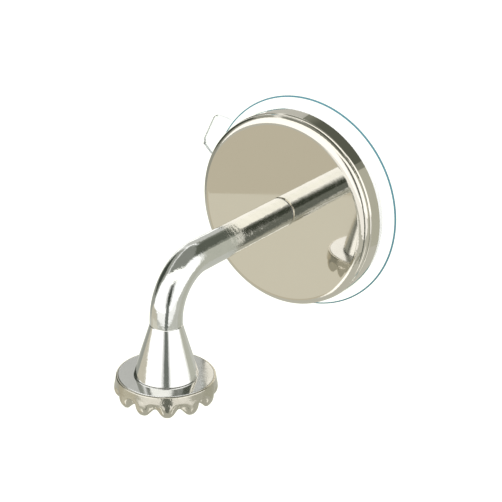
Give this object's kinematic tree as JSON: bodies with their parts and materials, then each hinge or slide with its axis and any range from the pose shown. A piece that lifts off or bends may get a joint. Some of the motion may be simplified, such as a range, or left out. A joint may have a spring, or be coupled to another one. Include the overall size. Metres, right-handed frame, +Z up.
{
  "type": "magnetic soap holder",
  "caption": "Wall arm that hangs a bar of soap from a magnet: round suction base, bent round arm, bell with a magnet, and a toothed cap that presses into the soap.",
  "frame": {"origin": "centre of the suction pad's wall face", "axes": "+Y into the wall, so the arm stands out along -Y; +Z up, the soap hangs along -Z; +X to the right of someone facing the wall"},
  "size_m": [0.0769, 0.0883, 0.0774],
  "materials": {
    "clear_pvc": "clear, glossy",
    "white_abs": "satin",
    "polished_steel": "mirror polished",
    "satin_nickel": "polished, warm tone",
    "zinc_steel": "zinc plated",
    "brass": "plain",
    "clear_washer": "clear",
    "grey_holder": "matte",
    "magnet_nickel": "nickel plated",
    "cap_steel": "satin",
    "cap_chrome": "chromed"
  },
  "bodies": {
    "wall_base": {"suction_pad": "clear_pvc", "pressure_cup": "white_abs", "base_ring": "satin_nickel", "thrust_washer": "zinc_steel"},
    "cover": {"cover_disc": "satin_nickel", "cover_core": "white_abs", "tension_nut": "brass"},
    "puller": {"pull_stud": "zinc_steel", "anchor_plate": "zinc_steel"},
    "arm_seat": {"arm_gasket": "clear_washer"},
    "arm": {"arm_bar": "polished_steel", "bell": "polished_steel", "spring_washer": "zinc_steel", "bell_screw": "zinc_steel", "magnet_holder": "grey_holder", "magnet_pot": "zinc_steel", "magnet": "magnet_nickel"},
    "cap_lift": {"cap_plate": "cap_steel"},
    "cap": {"cap_crown": "cap_chrome"}
  },
  "joints": [
    {"name": "cover_turn", "type": "hinge", "parent": "wall_base", "child": "cover", "pos_m": [0, 0, 0], "axis": [0, 1, 0], "range_deg": [0, 720]},
    {"name": "stud_pull", "type": "slide", "parent": "wall_base", "child": "puller", "axis": [0, -1, 0], "range_m": [0, 0.00201]},
    {"name": "arm_advance", "type": "slide", "parent": "puller", "child": "arm_seat", "axis": [0, -1, 0], "range_m": [0, 0.00801]},
    {"name": "arm_turn", "type": "hinge", "parent": "arm_seat", "child": "arm", "pos_m": [0, 0, 0], "axis": [0, -1, 0], "range_deg": [0, 2880]},
    {"name": "cap_pull", "type": "slide", "parent": "arm", "child": "cap_lift", "axis": [0, 0, -1], "range_m": [0, 0.03]},
    {"name": "cap_spin", "type": "hinge", "parent": "cap_lift", "child": "cap", "pos_m": [0, -0.0727, -0.036], "axis": [0, 0, 1], "continuous": true}
  ],
  "couplings": [
    {"joint": "stud_pull", "follows": "cover_turn", "m_per_rad": 0.00015915},
    {"joint": "arm_advance", "follows": "arm_turn", "m_per_rad": 0.00015915}
  ]
}
